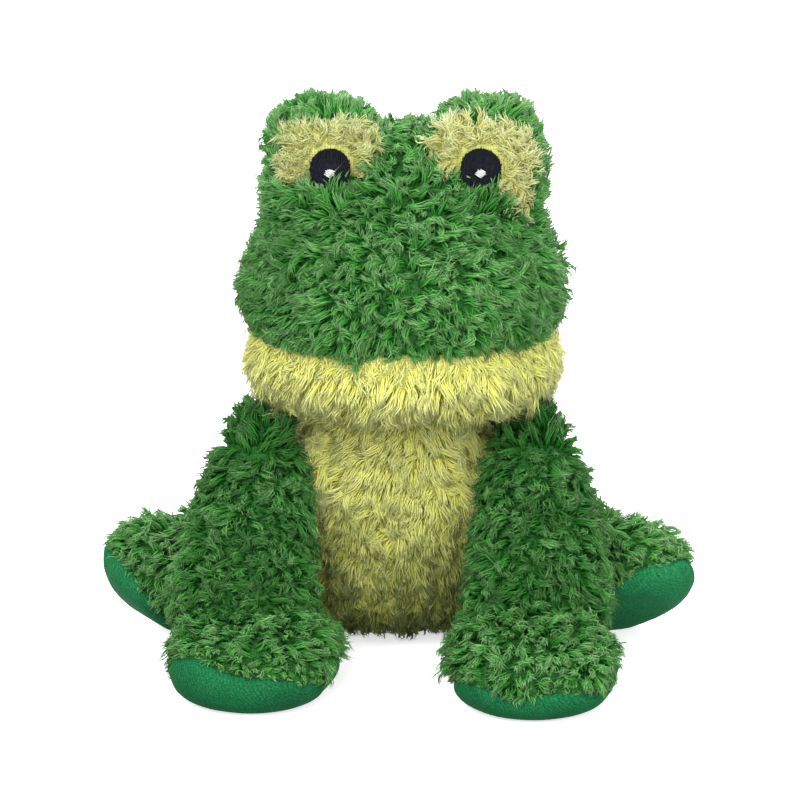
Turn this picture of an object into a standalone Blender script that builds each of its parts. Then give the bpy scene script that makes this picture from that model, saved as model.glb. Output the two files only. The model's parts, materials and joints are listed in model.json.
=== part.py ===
"""A seated plush frog, sewn from long-pile panels round fibre filling.

Metres, +Z up. The frog faces -Y and its own left is +X. The origin is on the
flat seat, under the middle of the torso. Each form is a loft through rounded
rings, whose tables hold shares of the named sizes. The outer forms include the
pile, so a skin is as thick as its backing and its pile together, and the
filling lies inside it.
"""

from math import copysign, cos, radians, sin

import bmesh
import bpy
from mathutils import Matrix, Vector

# Fabric and seams
SEAM_GAP = 0.0003  # clear air left between two pieces that touch
SKIN = 0.0075  # backing and pile of the long-pile plush
SOLE_SKIN = 0.0030  # velour and its lining
FLOOR_CUT = 0.0005  # how deep a soft form is flattened where it stands
CUTTER_REACH = 0.6  # overrun of every cutter, longer than the whole frog
RING_POWER = 0.90  # below 1 a ring is squarer than an ellipse
ROUND_POWER = 1.0  # a leg is round where it turns in its seat
LARGE_RING_SIDES = 20
SMALL_RING_SIDES = 16
CORE_RING_SIDES = 10

# Torso: a pear with a flat seat
TORSO_HEIGHT = 0.110
TORSO_WIDTH = 0.120
TORSO_DEPTH = 0.110
SIDE_SEAM_Y = -0.012  # the belly panel lies in front of it
TORSO_RING_shares = (  # height, width, front, back
    (0.00, 0.68, 0.34, 0.70),
    (0.06, 0.88, 0.63, 0.88),
    (0.17, 0.98, 0.87, 0.97),
    (0.33, 1.00, 0.99, 1.00),
    (0.50, 0.96, 0.97, 0.97),
    (0.67, 0.88, 0.90, 0.89),
    (0.82, 0.79, 0.81, 0.79),
    (0.93, 0.72, 0.73, 0.70),
    (1.00, 0.66, 0.66, 0.63),
)

# Bag of pellets that weighs the seat down
BAG_HEIGHT = 0.026
BAG_HALF_WIDTH = 0.037
BAG_HALF_DEPTH = 0.030
BAG_Y = 0.009  # it lies back, clear of the belly's slope
BAG_RING_shares = ((0.00, 0.60), (0.25, 0.92), (0.50, 1.00), (0.80, 0.82), (1.00, 0.45))

# Head: a jaw panel and a nape panel under one crown and muzzle panel
HEAD_SHIFT = 0.004  # the head sits this far to the frog's left
NECK_Y = -0.018
HEAD_HALF_WIDTH = 0.0705
MUZZLE_REACH = 0.080  # from the neck axis forward
NAPE_REACH = 0.056  # from the neck axis back
JAW_HEIGHT = 0.0355
CROWN_HEIGHT = 0.0855
JAW_SEAM_Y = 0.004  # the jaw panel ends here, and the nape panel begins
JAW_RING_shares = (  # height, width, front, back
    (0.00, 0.74, 0.62, 0.68),
    (0.14, 0.87, 0.80, 0.80),
    (0.36, 0.96, 0.92, 0.89),
    (0.64, 0.985, 0.965, 0.94),
    (1.00, 0.955, 0.93, 0.95),
)
CROWN_RING_shares = (  # height, width, front, back
    (0.00, 0.985, 0.97, 0.95),
    (0.07, 1.00, 1.00, 0.98),
    (0.20, 0.995, 1.00, 1.00),
    (0.35, 0.95, 0.95, 1.02),
    (0.50, 0.88, 0.84, 1.02),
    (0.63, 0.80, 0.67, 0.98),
    (0.75, 0.72, 0.46, 0.90),
    (0.88, 0.58, 0.28, 0.72),
    (0.97, 0.38, 0.13, 0.48),
    (1.00, 0.20, 0.03, 0.30),
)

# Eye mounds and what is sewn on them
MOUND_X = 0.0345  # from the middle of the head
MOUND_Y = -0.023
MOUND_HALF_WIDTH = 0.0285
MOUND_HALF_DEPTH = 0.0295
MOUND_ROOT = 0.078  # above the neck seam
MOUND_HEIGHT = 0.0585
PATCH_DEPTH = 0.0165  # how far back the pale patch reaches from the mound's front
PATCH_TURN = radians(9)  # the patch's seam turns in, so that green frames its outer side
MOUND_RING_shares = (  # height, width, depth
    (0.00, 0.92, 0.90),
    (0.28, 1.00, 1.00),
    (0.56, 1.00, 0.99),
    (0.76, 0.93, 0.91),
    (0.91, 0.72, 0.70),
    (1.00, 0.36, 0.36),
)
PUPIL_X = 0.0320  # from the middle of the head
PUPIL_Z = 0.1095  # above the neck seam
PUPIL_RADIUS = 0.0086
PUPIL_THICKNESS = 0.0012
PUPIL_SIDES = 24
HIGHLIGHT_WIDTH = 0.0036
HIGHLIGHT_HEIGHT = 0.0026
HIGHLIGHT_DROP = 0.0015  # below the pupil's centre
HIGHLIGHT_THICKNESS = 0.0008
HIGHLIGHT_SIDES = 12

# Arms: narrow under the jaw and wide where they stand on the front feet
ARM_DROP = 0.0030  # from the neck seam down to the arm's top
ARM_HALF_WIDTH = 0.0305
ARM_HALF_DEPTH = 0.0290
SHOULDER_X = TORSO_WIDTH / 2 - 0.0040  # an arm's top lies on the torso's shoulder
SHOULDER_Y = -0.0350
WRIST_X = SHOULDER_X + 0.0040
WRIST_Y = -0.0860
WRIST_HEIGHT = 0.0200
SHOULDER_HINGE_X = TORSO_WIDTH / 2 - 0.0060  # the top of the shoulder seam, about which an arm lifts sideways
SHOULDER_HINGE_DROP = 0.0060  # below the neck seam
ARM_lean = {"left": -0.0020, "right": 0.0060}  # the wrist's place further out than the arm's own bow
ARM_RING_shares = (  # height, way from shoulder to wrist in x, in y, width, depth
    (0.00, 1.00, 1.00, 1.02, 0.92),
    (0.14, 1.25, 0.88, 1.08, 1.02),
    (0.32, 1.40, 0.70, 1.03, 1.02),
    (0.50, 1.35, 0.48, 0.96, 0.98),
    (0.67, 1.20, 0.28, 0.84, 0.88),
    (0.82, 0.95, 0.12, 0.65, 0.72),
    (0.94, 0.45, 0.03, 0.42, 0.50),
    (1.00, 0.00, 0.00, 0.20, 0.25),
)

# Front feet
FRONT_FOOT_WIDTH = 0.0780
FRONT_FOOT_LENGTH = 0.0880
FRONT_FOOT_HEIGHT = 0.0400
FRONT_FOOT_SEAM = 0.0120  # height of the sole's seam at the foot's middle
FRONT_FOOT_places = {  # middle in x and y, toes turned out, seam's slope to the toes and to the left
    "left": (0.0575, -0.1060, radians(6), radians(5), radians(-7)),
    "right": (0.0605, -0.0970, radians(10), radians(7), radians(-8)),
}

# Hind legs and feet
HIP_SEAM_X = 0.0480  # the flat seam disc on which a leg turns
HIP_Y = 0.0060
HIP_Z = 0.0290
HIP_DISC = 0.0240
LEG_LENGTH = 0.0500
LEG_RADIUS = 0.0250
LEG_RING_shares = (  # way along the leg, width, height, rise of the middle
    (0.00, 0.94, 0.94, 0.00),
    (0.28, 0.94, 0.94, 0.00),
    (0.46, 1.04, 1.02, 0.02),
    (0.70, 1.04, 1.02, 0.06),
    (0.90, 0.90, 0.90, 0.10),
    (1.00, 0.62, 0.62, 0.12),
)
HIND_FOOT_WIDTH = 0.0640
HIND_FOOT_LENGTH = 0.0740
HIND_FOOT_HEIGHT = 0.0410
HIND_FOOT_SEAM = 0.0150
HIND_FOOT_places = {  # middle in x and y, toes turned forward, toes lifted, sole rolled forward
    "left": (0.0980, -0.0230, radians(38), radians(30), radians(22)),
    "right": (0.1020, -0.0190, radians(14), radians(35), radians(10)),
}

# What the four feet share
ANKLE_RISE = 0.0050  # a limb ends this far above the sole's seam, inside the foot
FOOT_RING_shares = (  # height, width, length, shift to the heel
    (0.00, 0.66, 0.68, 0.00),
    (0.12, 0.88, 0.89, 0.00),
    (0.36, 1.00, 1.00, 0.00),
    (0.60, 0.96, 0.95, 0.01),
    (0.80, 0.80, 0.78, 0.03),
    (0.94, 0.53, 0.51, 0.05),
    (1.00, 0.28, 0.27, 0.06),
)

# Colours, with roughness
GREEN_PILE = ((0.060, 0.200, 0.045), 0.95)
YELLOW_PILE = ((0.620, 0.600, 0.180), 0.95)
GREEN_VELOUR = ((0.022, 0.165, 0.070), 0.80)
BLACK_FELT = ((0.010, 0.011, 0.014), 0.85)
WHITE_THREAD = ((0.800, 0.800, 0.760), 0.50)
WHITE_FIBRE = ((0.750, 0.750, 0.730), 0.90)
BAG_CLOTH = ((0.550, 0.540, 0.500), 0.85)

SIDES = {"left": 1, "right": -1}
CROWN_BASE = TORSO_HEIGHT + SEAM_GAP + JAW_HEIGHT + SEAM_GAP
SHOULDER_HINGE_Z = TORSO_HEIGHT - SHOULDER_HINGE_DROP


def clear_scene():
    for thing in list(bpy.data.objects):
        bpy.data.objects.remove(thing, do_unlink=True)


# Modelling helpers


def rounded(value, power):
    """A coordinate of the unit circle, pushed out towards a square by a power below 1."""
    return copysign(abs(value) ** power, value)


def add_object(name, bm):
    bmesh.ops.recalc_face_normals(bm, faces=bm.faces)
    mesh = bpy.data.meshes.new(name)
    bm.to_mesh(mesh)
    bm.free()
    made = bpy.data.objects.new(name, mesh)
    bpy.context.scene.collection.objects.link(made)
    return made


def loft(name, rings, sides, clearance=0.0, frame=Matrix(), power=RING_POWER):
    """A closed form through rings (height, middle x, middle y, half width, front, back)."""
    bm = bmesh.new()
    last = len(rings) - 1
    below = []
    for index, (height, middle_x, middle_y, half_width, front, back) in enumerate(rings):
        is_end = index in (0, last)
        lift = clearance * ((index == last) - (index == 0))
        made = bmesh.ops.create_circle(bm, cap_ends=is_end, segments=sides, radius=1)["verts"]
        edges = list({edge for vert in made for edge in vert.link_edges})
        for vert in made:
            reach = back if vert.co.y > 0 else front
            vert.co = (
                middle_x + rounded(vert.co.x, power) * (half_width + clearance),
                middle_y + rounded(vert.co.y, power) * (reach + clearance),
                height + lift,
            )
        if below:
            bmesh.ops.bridge_loops(bm, edges=below + edges)
        below = edges
    # The same diagonals at every clearance keep a form and the space cut for it parallel
    bmesh.ops.triangulate(bm, faces=bm.faces, quad_method="FIXED")
    bmesh.ops.transform(bm, matrix=frame, verts=bm.verts)
    return add_object(name, bm)


def inner(rings, wall, floor_wall=None, top_wall=None):
    """The same rings drawn in by a wall all round, and at the ends by walls of their own."""
    floor_wall = wall if floor_wall is None else floor_wall
    top_wall = wall if top_wall is None else top_wall
    low, high = rings[0][0], rings[-1][0]
    squeeze = (high - top_wall - low - floor_wall) / (high - low)
    widest = max(ring[3] for ring in rings)
    longest = max((ring[4] + ring[5]) / 2 for ring in rings)
    narrower = (widest - wall) / widest
    shorter = (longest - wall) / longest
    base = low + floor_wall
    return [
        (base + (height - low) * squeeze, x, y, half * narrower, front * shorter, back * shorter)
        for height, x, y, half, front, back in rings
    ]


def half_space(name, point, outward):
    """A cutter that takes everything past a plane through the point."""
    bm = bmesh.new()
    bmesh.ops.create_cube(bm, size=CUTTER_REACH)
    bmesh.ops.translate(bm, vec=(0, 0, CUTTER_REACH / 2), verts=bm.verts)
    turn = Vector((0, 0, 1)).rotation_difference(Vector(outward)).to_matrix().to_4x4()
    bmesh.ops.transform(bm, matrix=Matrix.Translation(point) @ turn, verts=bm.verts)
    return as_cutter(add_object(name, bm))


def past_seam(name, seam_y, way):
    """A cutter that ends a panel at an upright seam, on its back side or, at -1, on its front."""
    return half_space(name + "_end", (0, seam_y - way * SEAM_GAP / 2, 0), (0, way, 0))


def hip_seat(name, side):
    """A cutter for the round flat seat in the torso, from the hip seam outward."""
    radius = HIP_DISC + SEAM_GAP
    bm = bmesh.new()
    bmesh.ops.create_cone(
        bm, cap_ends=True, segments=LARGE_RING_SIDES, radius1=radius, radius2=radius, depth=CUTTER_REACH
    )
    bmesh.ops.rotate(bm, cent=(0, 0, 0), matrix=Matrix.Rotation(radians(90), 3, "Y"), verts=bm.verts)
    place = (side * (HIP_SEAM_X + CUTTER_REACH / 2), HIP_Y, HIP_Z)
    bmesh.ops.translate(bm, vec=place, verts=bm.verts)
    return as_cutter(add_object("hip_seat_" + name, bm))


def as_cutter(thing):
    thing.hide_render = True
    thing.display_type = "WIRE"
    return thing


def boolean(thing, operation, others):
    for other in others:
        change = thing.modifiers.new(operation.lower() + "_" + other.name, "BOOLEAN")
        change.operation = operation
        change.solver = "EXACT"
        change.object = other


def material(name, colour, roughness):
    made = bpy.data.materials.new(name)
    made.use_nodes = True
    shader = made.node_tree.nodes["Principled BSDF"]
    shader.inputs["Base Color"].default_value = (*colour, 1.0)
    shader.inputs["Roughness"].default_value = roughness
    shader.inputs["Metallic"].default_value = 0.0
    return made


def finish(thing, look, joint=None):
    """Gives a sub-part its material and smooth shading, and hangs it on its joint."""
    colour, roughness = look
    thing.data.materials.append(material(thing.name + "_finish", colour, roughness))
    thing.data.shade_smooth()
    if joint is not None:
        thing.data.transform(Matrix.Translation(-joint.location))
        thing.parent = joint
    return thing


def joint_empty(name, place):
    made = bpy.data.objects.new(name, None)
    made.location = place
    bpy.context.scene.collection.objects.link(made)
    return made


# Rings of each form, in the object's frame unless the form has a frame of its own


def torso_rings():
    half, reach = TORSO_WIDTH / 2, TORSO_DEPTH / 2
    return [
        (TORSO_HEIGHT * height, 0, 0, half * width, reach * front, reach * back)
        for height, width, front, back in TORSO_RING_shares
    ]


def bag_rings():
    """The pellet bag lies on the seat's skin, inside the torso's filling."""
    base = SKIN + 2 * SEAM_GAP
    return [
        (
            base + BAG_HEIGHT * height,
            0,
            BAG_Y,
            BAG_HALF_WIDTH * size,
            BAG_HALF_DEPTH * size,
            BAG_HALF_DEPTH * size,
        )
        for height, size in BAG_RING_shares
    ]


def head_rings(table, base, tall):
    return [
        (
            base + tall * height,
            HEAD_SHIFT,
            NECK_Y,
            HEAD_HALF_WIDTH * width,
            MUZZLE_REACH * front,
            NAPE_REACH * back,
        )
        for height, width, front, back in table
    ]


def jaw_rings():
    return head_rings(JAW_RING_shares, TORSO_HEIGHT + SEAM_GAP, JAW_HEIGHT)


def crown_rings():
    return head_rings(CROWN_RING_shares, CROWN_BASE, CROWN_HEIGHT)


def head_core_rings():
    """One filling runs from the neck seam to the crown, past the mouth seam."""
    return inner(jaw_rings()[:-1] + crown_rings()[1:], SKIN, floor_wall=0)


def mound_rings(side):
    base = TORSO_HEIGHT + SEAM_GAP + MOUND_ROOT
    x = HEAD_SHIFT + side * MOUND_X
    return [
        (
            base + MOUND_HEIGHT * height,
            x,
            MOUND_Y,
            MOUND_HALF_WIDTH * width,
            MOUND_HALF_DEPTH * depth,
            MOUND_HALF_DEPTH * depth,
        )
        for height, width, depth in MOUND_RING_shares
    ]


def arm_rings(name, side):
    top = TORSO_HEIGHT - ARM_DROP
    return [
        (
            WRIST_HEIGHT + (top - WRIST_HEIGHT) * height,
            side * (SHOULDER_X + (WRIST_X - SHOULDER_X) * out + ARM_lean[name] * (1 - height) ** 2),
            SHOULDER_Y + (WRIST_Y - SHOULDER_Y) * ahead,
            ARM_HALF_WIDTH * width,
            ARM_HALF_DEPTH * depth,
            ARM_HALF_DEPTH * depth,
        )
        for height, out, ahead, width, depth in ARM_RING_shares
    ]


def foot_rings(width, length, tall):
    """In the foot's own frame: toes to -Y, sole on the plane z = 0."""
    return [
        (
            tall * height,
            0,
            length * shift,
            width / 2 * across,
            length / 2 * along,
            length / 2 * along,
        )
        for height, across, along, shift in FOOT_RING_shares
    ]


def leg_rings():
    """In the leg's own frame: height runs out along the leg, front is down."""
    return [
        (
            SEAM_GAP + LEG_LENGTH * way,
            0,
            LEG_RADIUS * rise,
            LEG_RADIUS * width,
            LEG_RADIUS * tall,
            LEG_RADIUS * tall,
        )
        for way, width, tall, rise in LEG_RING_shares
    ]


def leg_frame(side):
    """From the hip seam, the leg's rings stack outward."""
    out, up = Vector((side, 0, 0)), Vector((0, 0, 1))
    turned = Matrix((up.cross(out), up, out)).transposed().to_4x4()
    return Matrix.Translation((side * HIP_SEAM_X, HIP_Y, HIP_Z)) @ turned


def front_foot_frame(name, side):
    x, y, toes_out, _, _ = FRONT_FOOT_places[name]
    return Matrix.Translation((side * x, y, 0)) @ Matrix.Rotation(side * toes_out, 4, "Z")


def hind_foot_frame(name, side):
    """The foot is turned out, its toes lifted and its sole rolled forward, then stood on the floor."""
    x, y, toes_forward, lift, roll = HIND_FOOT_places[name]
    turn = (
        Matrix.Rotation(side * (radians(90) - toes_forward), 4, "Z")
        @ Matrix.Rotation(-lift, 4, "X")
        @ Matrix.Rotation(side * roll, 4, "Y")
    )
    lowest = min((turn @ Vector(point)).z for point in foot_outline())
    return Matrix.Translation((side * x, y, -lowest - FLOOR_CUT)) @ turn


def foot_outline():
    """Points on the hind foot's rings, from which its lowest point is found."""
    points = []
    for height, x, y, half, front, back in foot_rings(HIND_FOOT_WIDTH, HIND_FOOT_LENGTH, HIND_FOOT_HEIGHT):
        for step in range(SMALL_RING_SIDES):
            angle = radians(360) * step / SMALL_RING_SIDES
            across, along = rounded(sin(angle), RING_POWER), rounded(cos(angle), RING_POWER)
            points.append((x + half * across, y + (back if along > 0 else front) * along, height))
    return points


# Sub-parts


def build_torso():
    core_space = as_cutter(loft("torso_core_space", torso_core(), CORE_RING_SIDES, SEAM_GAP))
    seats = []
    for name, side in SIDES.items():
        seats.append(hip_seat(name, side))
    panels = {"torso_belly": (1, YELLOW_PILE), "torso_back": (-1, GREEN_PILE)}
    for name, (way, look) in panels.items():
        panel = loft(name, torso_rings(), LARGE_RING_SIDES)
        boolean(panel, "DIFFERENCE", [core_space, past_seam(name, SIDE_SEAM_Y, way)] + seats)
        finish(panel, look)

    filling = loft("torso_filling", torso_core(), CORE_RING_SIDES)
    bag_space = as_cutter(loft("bag_space", bag_rings(), CORE_RING_SIDES, SEAM_GAP))
    boolean(filling, "DIFFERENCE", [bag_space] + seats)
    finish(filling, WHITE_FIBRE)
    finish(loft("seat_pellet_bag", bag_rings(), CORE_RING_SIDES), BAG_CLOTH)


def torso_core():
    return inner(torso_rings(), SKIN + SEAM_GAP, floor_wall=SKIN + SEAM_GAP, top_wall=0)


def build_head(joint):
    core_space = [as_cutter(loft("head_core_space", head_core_rings(), CORE_RING_SIDES, SEAM_GAP))]
    filling = loft("head_filling", head_core_rings(), CORE_RING_SIDES)
    for name, side in SIDES.items():
        core = inner(mound_rings(side), SKIN)
        core_space.append(as_cutter(loft("mound_core_space_" + name, core, CORE_RING_SIDES, SEAM_GAP)))
        boolean(filling, "UNION", [as_cutter(loft("mound_core_" + name, core, CORE_RING_SIDES))])
    finish(filling, WHITE_FIBRE, joint)

    upper = loft("head_upper", crown_rings(), LARGE_RING_SIDES)
    boolean(upper, "DIFFERENCE", core_space)
    finish(upper, GREEN_PILE, joint)

    panels = {"head_jaw": (1, YELLOW_PILE), "head_nape": (-1, GREEN_PILE)}
    for name, (way, look) in panels.items():
        panel = loft(name, jaw_rings(), LARGE_RING_SIDES)
        boolean(panel, "DIFFERENCE", core_space[:1] + [past_seam(name, JAW_SEAM_Y, way)])
        finish(panel, look, joint)

    crown_space = as_cutter(loft("crown_space", crown_rings(), LARGE_RING_SIDES, SEAM_GAP))
    for name, side in SIDES.items():
        build_eye(name, side, core_space, crown_space, joint)


def build_eye(name, side, core_space, crown_space, joint):
    rings = mound_rings(side)
    seam_point = Vector((HEAD_SHIFT + side * MOUND_X, MOUND_Y - MOUND_HALF_DEPTH + PATCH_DEPTH, 0))
    forward = Vector((-side * sin(PATCH_TURN), -cos(PATCH_TURN), 0))
    half_gap = forward * SEAM_GAP / 2
    panels = {
        "eye_mound_": (half_space("patch_side_" + name, seam_point - half_gap, forward), GREEN_PILE),
        "eye_patch_": (half_space("mound_side_" + name, seam_point + half_gap, -forward), YELLOW_PILE),
    }
    for kind, (end, look) in panels.items():
        panel = loft(kind + name, rings, SMALL_RING_SIDES)
        boolean(panel, "DIFFERENCE", core_space + [crown_space, end])
        finish(panel, look, joint)

    centre = Vector((HEAD_SHIFT + side * PUPIL_X, MOUND_Y, TORSO_HEIGHT + PUPIL_Z))
    base = SEAM_GAP
    disc = (PUPIL_RADIUS, PUPIL_RADIUS, PUPIL_SIDES)
    pupil = eye_disc("pupil_" + name, rings, centre, disc, base, PUPIL_THICKNESS, crown_space)
    finish(pupil, BLACK_FELT, joint)
    base += PUPIL_THICKNESS + SEAM_GAP
    disc = (HIGHLIGHT_WIDTH / 2, HIGHLIGHT_HEIGHT / 2, HIGHLIGHT_SIDES)
    below = centre - Vector((0, 0, HIGHLIGHT_DROP))
    light = eye_disc("pupil_highlight_" + name, rings, below, disc, base, HIGHLIGHT_THICKNESS, crown_space)
    finish(light, WHITE_THREAD, joint)


def eye_disc(name, rings, centre, disc, base, thickness, muzzle):
    """A flat piece of stitching that follows the mound's front, down to the muzzle's pile."""
    half_width, half_height, sides = disc
    bm = bmesh.new()
    bmesh.ops.create_cone(bm, cap_ends=True, segments=sides, radius1=1, radius2=1, depth=1)
    bmesh.ops.scale(bm, vec=(half_width, half_height, 2 * MOUND_HALF_DEPTH), verts=bm.verts)
    bmesh.ops.rotate(bm, cent=(0, 0, 0), matrix=Matrix.Rotation(radians(90), 3, "X"), verts=bm.verts)
    bmesh.ops.translate(bm, vec=centre - Vector((0, MOUND_HALF_DEPTH, 0)), verts=bm.verts)
    made = add_object(name, bm)
    outer = as_cutter(loft(name + "_outer", rings, SMALL_RING_SIDES, base + thickness))
    under = as_cutter(loft(name + "_under", rings, SMALL_RING_SIDES, base))
    boolean(made, "INTERSECT", [outer])
    boolean(made, "DIFFERENCE", [under, muzzle])
    return made


def build_foot(prefix, name, rings, frame, seam_plane, filling_space, joint):
    """An upper of pile and a sole of velour, which meet at the seam plane."""
    point, up = seam_plane
    half_gap = up * SEAM_GAP / 2
    floor = half_space(prefix + "_floor_" + name, (0, 0, 0), (0, 0, -1))
    panels = {
        "_upper_": (half_space(prefix + "_below_" + name, point + half_gap, -up), GREEN_PILE),
        "_sole_": (half_space(prefix + "_above_" + name, point - half_gap, up), GREEN_VELOUR),
    }
    for kind, (end, look) in panels.items():
        panel = loft(prefix + kind + name, rings, SMALL_RING_SIDES, frame=frame)
        boolean(panel, "DIFFERENCE", filling_space + [end, floor])
        finish(panel, look, joint)


def build_limb(name, kinds, limb_form, foot_form, seam_plane, cutters, joint):
    """A limb's skin, its foot and the one filling that runs through both."""
    kind, foot_kind = kinds
    limb, end_wall, limb_frame, power = limb_form
    foot, foot_frame = foot_form
    point, up = seam_plane
    limb_core = inner(limb, SKIN, floor_wall=0, top_wall=end_wall)
    foot_core = inner(foot, SKIN, floor_wall=SOLE_SKIN)
    past_ankle = [half_space(kind + "_ankle_" + name, point + up * ANKLE_RISE, -up)]
    filling = loft(kind + "_filling_" + name, limb_core, CORE_RING_SIDES, 0, limb_frame, power)
    heart = as_cutter(loft(foot_kind + "_core_" + name, foot_core, CORE_RING_SIDES, 0, foot_frame))
    boolean(filling, "DIFFERENCE", past_ankle)
    boolean(filling, "UNION", [heart])
    boolean(filling, "DIFFERENCE", cutters)
    finish(filling, WHITE_FIBRE, joint)

    limb_clear = (CORE_RING_SIDES, SEAM_GAP, limb_frame, power)
    limb_space = as_cutter(loft(kind + "_core_space_" + name, limb_core, *limb_clear))
    foot_space = as_cutter(loft(foot_kind + "_space_" + name, foot, SMALL_RING_SIDES, SEAM_GAP, foot_frame))
    skin = loft(kind + "_" + name, limb, SMALL_RING_SIDES, 0, limb_frame, power)
    boolean(skin, "DIFFERENCE", [limb_space] + past_ankle + [foot_space] + cutters)
    finish(skin, GREEN_PILE, joint)

    ankle_hole = as_cutter(loft(kind + "_ankle_hole_" + name, limb_core, *limb_clear))
    boolean(ankle_hole, "DIFFERENCE", past_ankle)
    foot_clear = (CORE_RING_SIDES, SEAM_GAP, foot_frame)
    heart_space = as_cutter(loft(foot_kind + "_core_space_" + name, foot_core, *foot_clear))
    build_foot(foot_kind, name, foot, foot_frame, seam_plane, [ankle_hole, heart_space], joint)


def build_arm(name, side, joint, torso_space):
    _, _, _, to_toes, to_left = FRONT_FOOT_places[name]
    frame = front_foot_frame(name, side)
    point = frame.translation + Vector((0, 0, FRONT_FOOT_SEAM))
    up = Matrix.Rotation(-to_toes, 3, "X") @ Matrix.Rotation(to_left, 3, "Y") @ Vector((0, 0, 1))
    arm = (arm_rings(name, side), SKIN, Matrix(), RING_POWER)
    foot = (foot_rings(FRONT_FOOT_WIDTH, FRONT_FOOT_LENGTH, FRONT_FOOT_HEIGHT), frame)
    build_limb(name, ("arm", "front_foot"), arm, foot, (point, up), [torso_space], joint)


def build_leg(name, side, joint):
    frame = hind_foot_frame(name, side)
    point = frame @ Vector((0, 0, HIND_FOOT_SEAM))
    up = (frame.to_3x3() @ Vector((0, 0, 1))).normalized()
    leg = (leg_rings(), 0, leg_frame(side), ROUND_POWER)
    foot = (foot_rings(HIND_FOOT_WIDTH, HIND_FOOT_LENGTH, HIND_FOOT_HEIGHT), frame)
    build_limb(name, ("leg", "hind_foot"), leg, foot, (point, up), [], joint)


def main():
    clear_scene()
    build_torso()
    build_head(joint_empty("neck_joint", (HEAD_SHIFT, NECK_Y, TORSO_HEIGHT)))
    torso_space = as_cutter(loft("torso_space", torso_rings(), LARGE_RING_SIDES, SEAM_GAP))
    for name, side in SIDES.items():
        shoulder = (side * SHOULDER_HINGE_X, SHOULDER_Y, SHOULDER_HINGE_Z)
        build_arm(name, side, joint_empty("shoulder_joint_" + name, shoulder), torso_space)
        hip = (side * HIP_SEAM_X, HIP_Y, HIP_Z)
        build_leg(name, side, joint_empty("hip_joint_" + name, hip))


main()
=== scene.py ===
"""The look of a seated plush frog: stuffed skins, curly pile, velour soles and embroidered eyes.

Metres, +Z up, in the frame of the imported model. The frog faces -Y and its own left is +X.
"""

import json
from math import cos, pi, radians, sin

import bmesh
import bpy
import numpy as np
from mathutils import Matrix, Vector
from mathutils.bvhtree import BVHTree
from mathutils.kdtree import KDTree

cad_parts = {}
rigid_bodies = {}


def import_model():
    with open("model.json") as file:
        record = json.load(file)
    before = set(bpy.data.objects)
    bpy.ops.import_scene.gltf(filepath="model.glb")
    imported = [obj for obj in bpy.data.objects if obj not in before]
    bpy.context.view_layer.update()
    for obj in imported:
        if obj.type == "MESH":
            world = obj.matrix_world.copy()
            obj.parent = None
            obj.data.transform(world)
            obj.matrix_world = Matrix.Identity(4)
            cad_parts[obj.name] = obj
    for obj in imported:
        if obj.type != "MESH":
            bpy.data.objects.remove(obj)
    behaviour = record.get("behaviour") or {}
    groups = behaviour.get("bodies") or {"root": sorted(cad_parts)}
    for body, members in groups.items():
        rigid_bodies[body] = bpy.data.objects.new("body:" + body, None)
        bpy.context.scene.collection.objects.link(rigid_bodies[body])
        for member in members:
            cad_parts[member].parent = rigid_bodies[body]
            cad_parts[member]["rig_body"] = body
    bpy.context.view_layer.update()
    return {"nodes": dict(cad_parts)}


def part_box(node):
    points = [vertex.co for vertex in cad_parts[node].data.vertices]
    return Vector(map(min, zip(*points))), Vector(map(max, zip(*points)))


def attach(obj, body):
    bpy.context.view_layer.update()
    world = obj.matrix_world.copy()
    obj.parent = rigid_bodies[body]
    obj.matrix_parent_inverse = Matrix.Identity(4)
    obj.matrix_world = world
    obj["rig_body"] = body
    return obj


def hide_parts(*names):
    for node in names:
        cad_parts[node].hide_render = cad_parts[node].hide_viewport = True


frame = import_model()

SIDES = {"left": 1, "right": -1}
RANDOM = np.random.default_rng(11)
DRIFT_WAVES = 7  # in a value that drifts
DRIFT_SPAN = 2.6

# Skins
KNIT_CELL = 0.0030  # the remeshed skin's faces
SKIN_THICKNESS = 0.0009
SEAM_DIP = 0.0012  # how far a seam draws the fabric in
FLOOR_CLEAR = 0.0003
PILE_ROOM = 0.009  # the clear space over the backing that full pile takes
BARE_REACH = 0.0011  # skin nearer than this to another body has no pile
JOINT_REACH = 0.0028  # skin nearer than this to another body is only drawn in by the next number
JOINT_DEPTH = 0.0003
LEAST_DEPTH = 0.3  # other skin near a body: the least share of its panel's depth
ROOM_MOST = 0.03  # the space to other bodies is measured up to here
SEAM_WANDER = 0.009  # the reach over which a seam's dip changes
FRONT_FACING = -0.15  # a normal's y where a foot's front begins
DOUBLES = 0.00002  # CAD corners nearer than this are one
SWELL_PRESSURE = 4.0
SWELL_FRAMES = 20
SWELL_MOST = 0.0020
HELD_SHARE = 0.3  # of the faces round a point, from where the swelling holds it
FILLING_CELL = 0.004
FILLING_CLEAR = 0.0028  # the stuffing lies this far inside its CAD form, clear of the drawn-in skin

# A sole's upper edge across the front of its foot: places in x, and heights as the viewer sees them
SOLE_EDGES = {
    "front_foot_sole_right": (
        (-0.097, -0.083, -0.071, -0.047, -0.030),
        (-0.008, -0.006, -0.015, -0.017, -0.022),
    ),
    "front_foot_sole_left": (
        (0.020, 0.040, 0.049, 0.066, 0.093),
        (-0.018, -0.022, -0.027, -0.023, -0.024),
    ),
    "hind_foot_sole_right": ((-0.124, -0.103, -0.095), (0.034, 0.011, 0.004)),
    "hind_foot_sole_left": ((0.080, 0.100, 0.114, 0.129), (0.009, 0.023, 0.030, 0.031)),
}

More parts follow.
